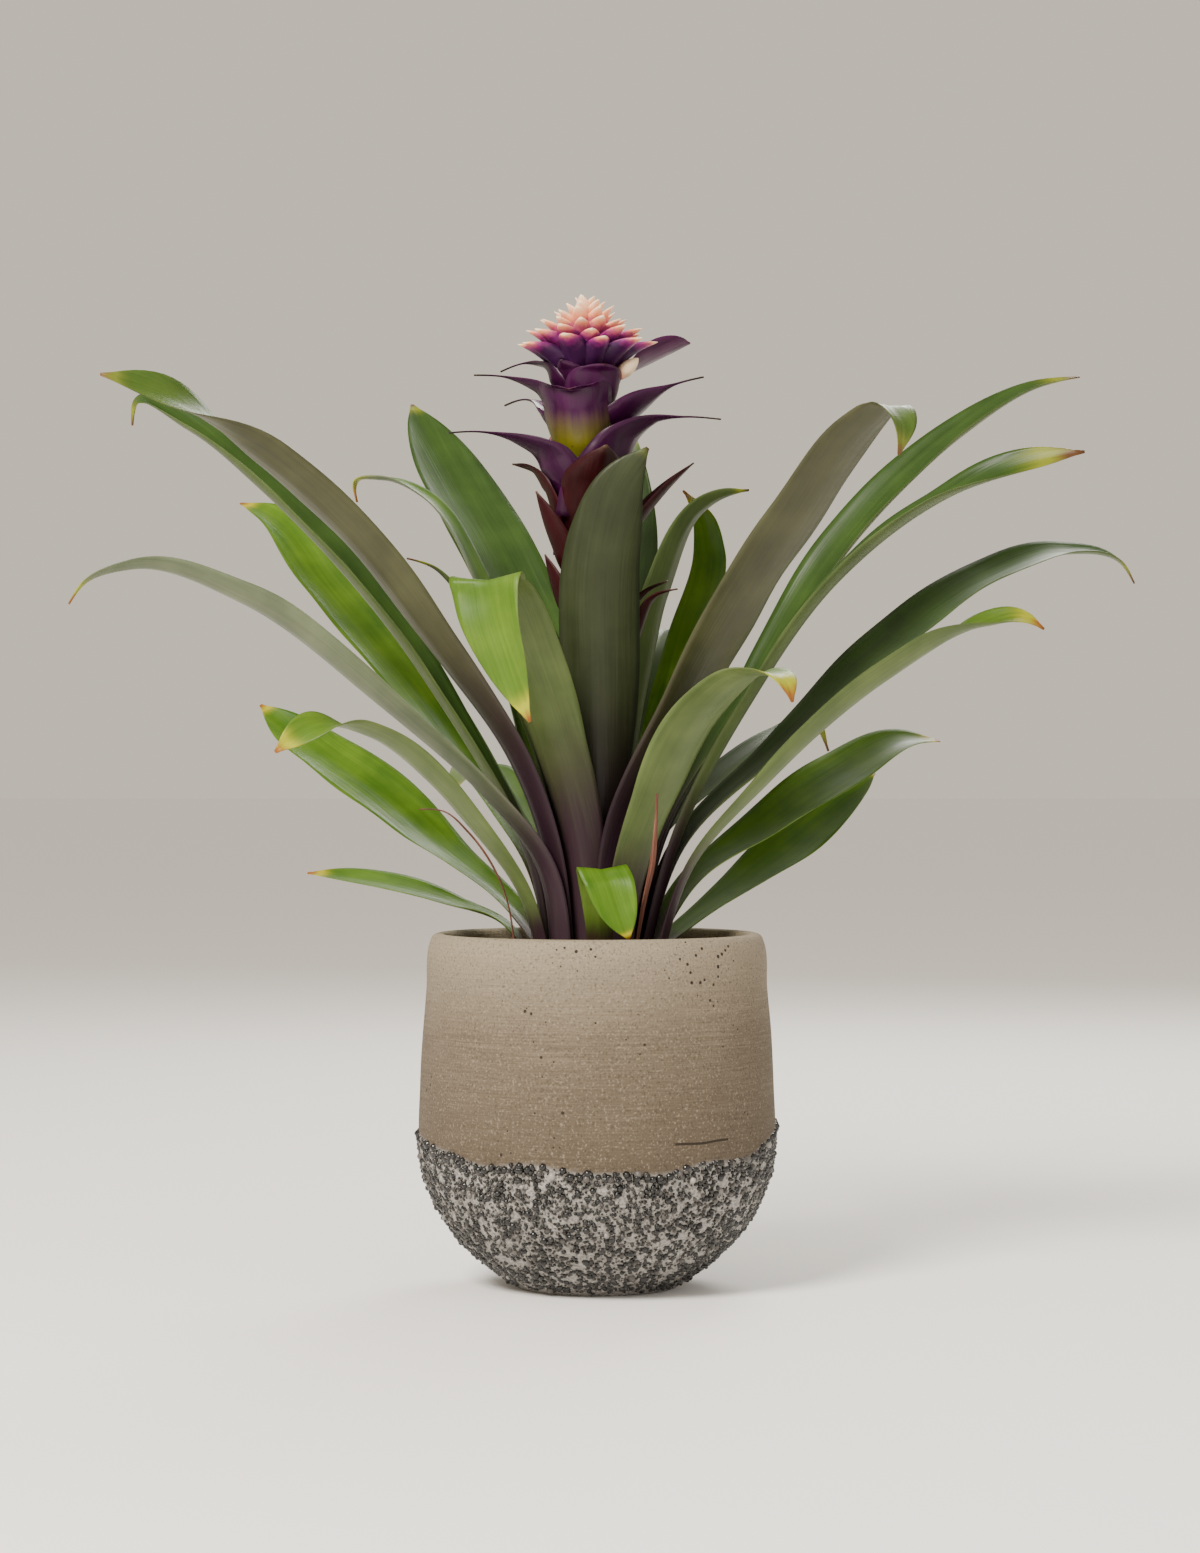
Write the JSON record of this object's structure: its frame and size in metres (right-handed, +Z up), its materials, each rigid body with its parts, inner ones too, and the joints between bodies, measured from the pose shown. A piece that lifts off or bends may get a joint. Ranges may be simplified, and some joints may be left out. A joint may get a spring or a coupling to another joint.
{
  "type": "potted bromeliad",
  "caption": "Purple-flowered bromeliad with arching strap leaves, standing in a round cement pot whose lower part is coated in dark grit.",
  "frame": {"origin": "middle of the pot's flat underside, on the surface that it stands on", "axes": "+Z up along the pot's axis; -Y is the side that the flower faces; +X to that viewer's right"},
  "size_m": [0.5426, 0.347, 0.4962],
  "materials": {
    "cement": "cast cement, brushed, matt, with a coat of dark beaded grit on the lower part",
    "soil": "damp fibrous potting mix with bark",
    "crown": "fleshy leaf bases, dark purple-brown",
    "flower_stem": "fleshy flower stem, dark maroon",
    "leaf": "live leaf, waxy satin, green above and grey-brown below, with a purple foot and a yellow tip",
    "dried_leaf": "dried leaf, red-brown, dull and wrinkled",
    "stem_bract": "live bract, dark maroon, satin",
    "flower_bract": "live bract, deep purple, satin, yellow-green at its foot",
    "flower_head": "fleshy small bracts, magenta at the foot and cream-peach at the tip"
  },
  "bodies": {
    "root": {"pot": "cement", "potting_soil": "soil", "root_crown": "crown", "flower_stem": "flower_stem", "leaf_left_1": "leaf", "leaf_left_2": "leaf", "leaf_left_3": "leaf", "leaf_left_4": "leaf", "leaf_left_5": "leaf", "leaf_left_6": "leaf", "leaf_left_7": "leaf", "leaf_left_inner": "leaf", "leaf_front_left": "leaf", "leaf_back_left_1": "leaf", "leaf_back_left_2": "leaf", "leaf_centre_front": "leaf", "leaf_centre_back": "leaf", "leaf_centre_right": "leaf", "leaf_centre_lime": "leaf", "leaf_right_1": "leaf", "leaf_right_2": "leaf", "leaf_right_3": "leaf", "leaf_right_4": "leaf", "leaf_right_5": "leaf", "leaf_right_6": "leaf", "leaf_right_7": "leaf", "leaf_right_8": "leaf", "leaf_right_9": "leaf", "leaf_front_small": "leaf", "leaf_back_1": "leaf", "leaf_back_2": "leaf", "leaf_back_3": "leaf", "dried_leaf_left": "dried_leaf", "dried_leaf_front": "dried_leaf", "stem_bract_1": "stem_bract", "stem_bract_2": "stem_bract", "stem_bract_3": "stem_bract", "stem_bract_4": "stem_bract", "stem_bract_5": "stem_bract", "stem_bract_6": "stem_bract", "stem_bract_7": "stem_bract", "stem_bract_8": "stem_bract", "stem_bract_9": "stem_bract", "stem_bract_10": "stem_bract", "flower_bract_1": "flower_bract", "flower_bract_2": "flower_bract", "flower_bract_3": "flower_bract", "flower_bract_4": "flower_bract", "flower_bract_5": "flower_bract", "flower_bract_6": "flower_bract", "flower_bract_7": "flower_bract", "flower_bract_8": "flower_bract", "flower_bract_9": "flower_bract", "flower_bract_10": "flower_bract", "flower_bract_11": "flower_bract", "flower_bract_12": "flower_bract", "flower_bract_13": "flower_bract", "flower_head": "flower_head", "side_flower_bud": "flower_head"}
  },
  "joints": []
}
